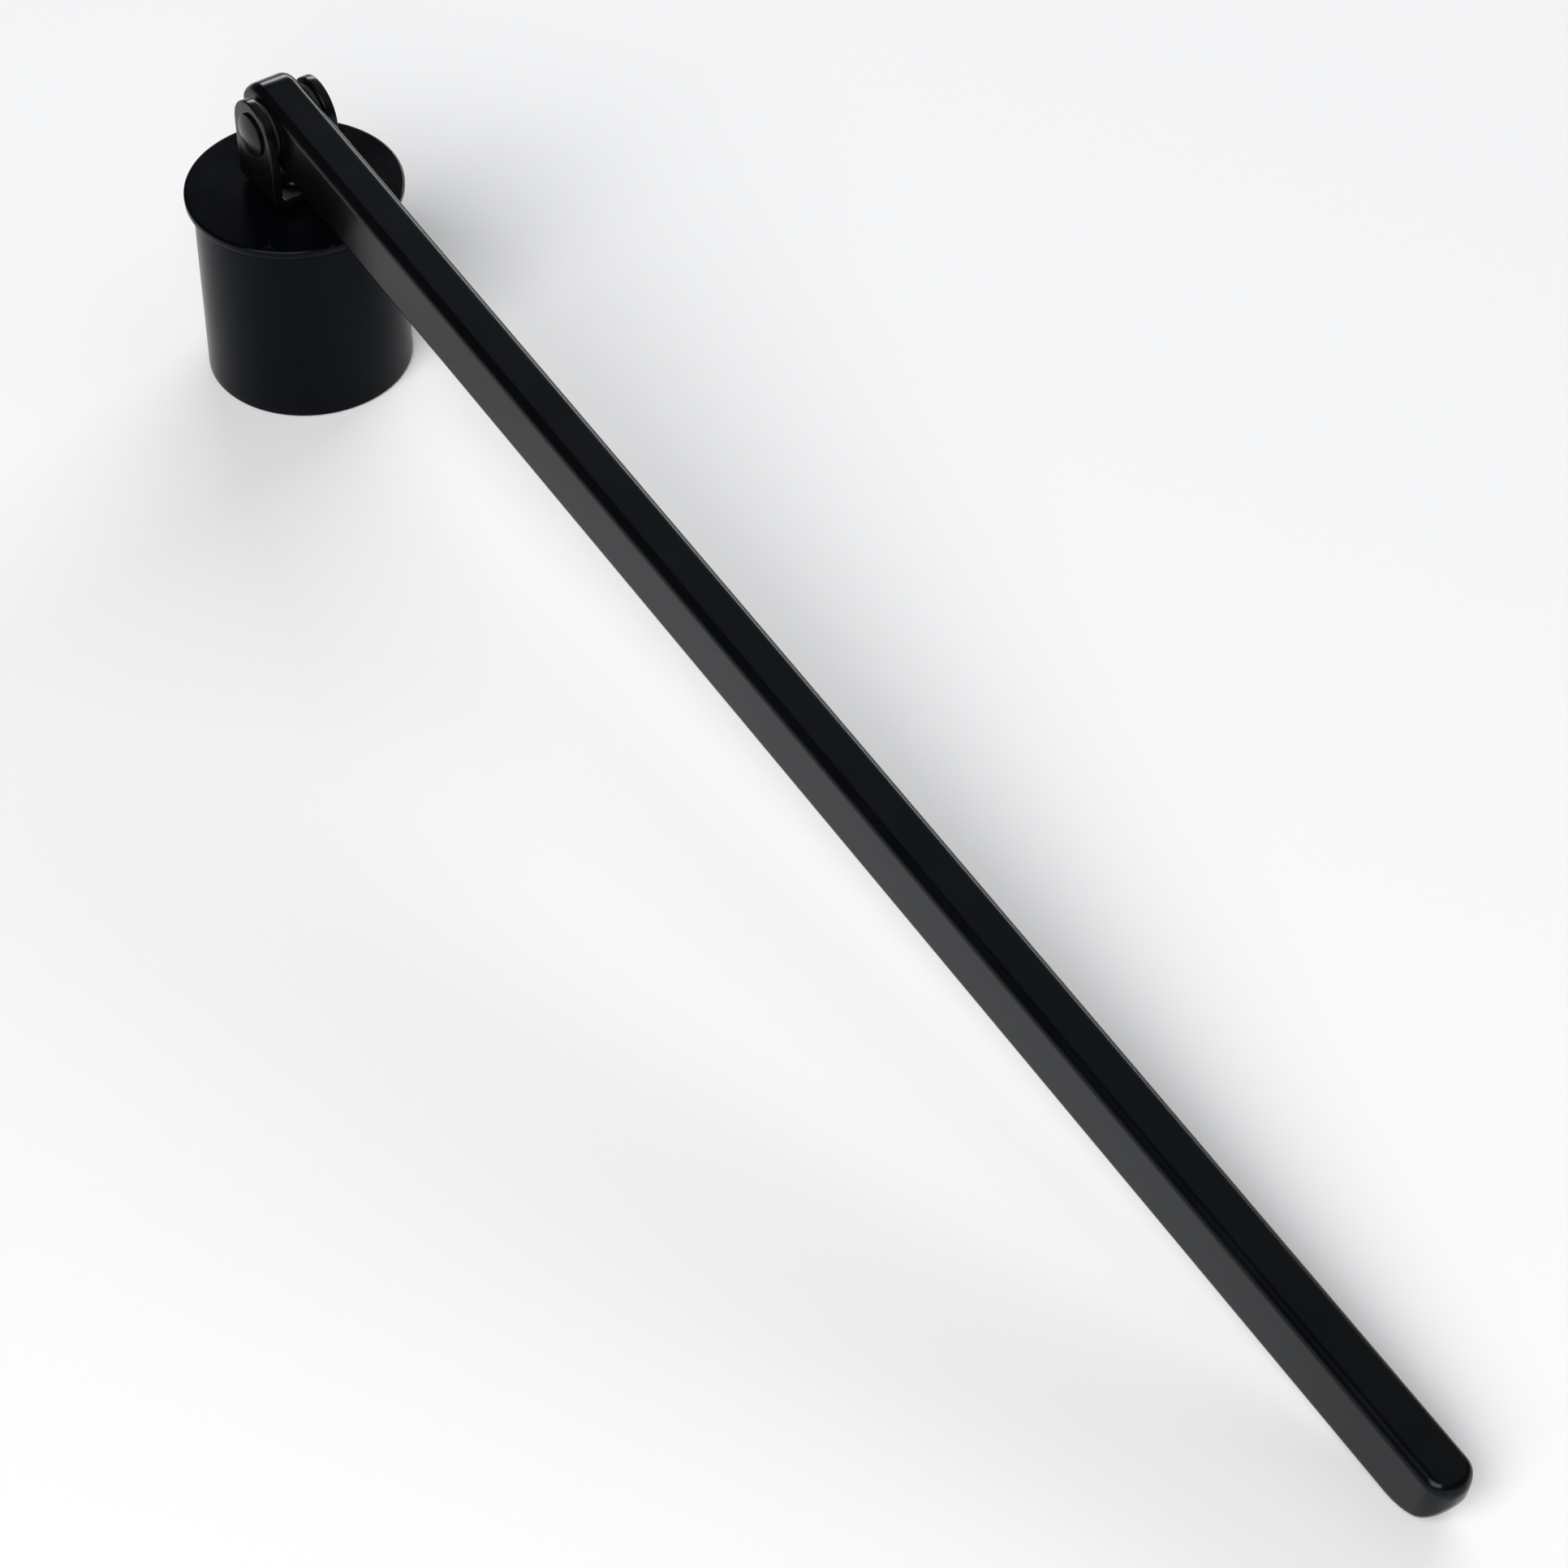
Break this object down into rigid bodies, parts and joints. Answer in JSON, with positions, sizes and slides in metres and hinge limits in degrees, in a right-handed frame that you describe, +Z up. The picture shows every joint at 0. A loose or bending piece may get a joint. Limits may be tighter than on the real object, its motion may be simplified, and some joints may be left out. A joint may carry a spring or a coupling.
{
  "type": "candle snuffer",
  "caption": "Long flat handle hinged by a pin in a U bracket to an open-bottomed bell cup with an overhanging round top disc, for putting out a candle.",
  "frame": {"origin": "on the surface that the snuffer stands on, under the middle of its bounding box", "axes": "+X runs along the handle from the hinge to its free end, +Y along the pivot pin, +Z up along the cup's axis"},
  "size_m": [0.2074, 0.024, 0.0358],
  "materials": {
    "cup_paint": "satin black paint",
    "disc_paint": "satin black paint",
    "bracket_paint": "satin black paint",
    "bar_paint": "satin black paint",
    "pin_paint": "satin black paint",
    "rivet_paint": "satin black paint",
    "washer_steel": "bright zinc",
    "washer_black": "black nylon"
  },
  "bodies": {
    "cup_head": {"cup_shell": "cup_paint", "top_disc": "disc_paint", "hinge_bracket": "bracket_paint", "bracket_rivet": "rivet_paint", "rivet_washer": "washer_steel", "pivot_barrel": "pin_paint", "pivot_screw": "pin_paint", "spacer_washer_near": "washer_black", "spacer_washer_far": "washer_black"},
    "handle": {"handle_bar": "bar_paint"}
  },
  "joints": [
    {"name": "handle_pivot", "type": "hinge", "parent": "cup_head", "child": "handle", "pos_m": [-0.09196, 0, 0.03155], "axis": [0, -1, 0], "range_deg": [-8, 205]}
  ]
}
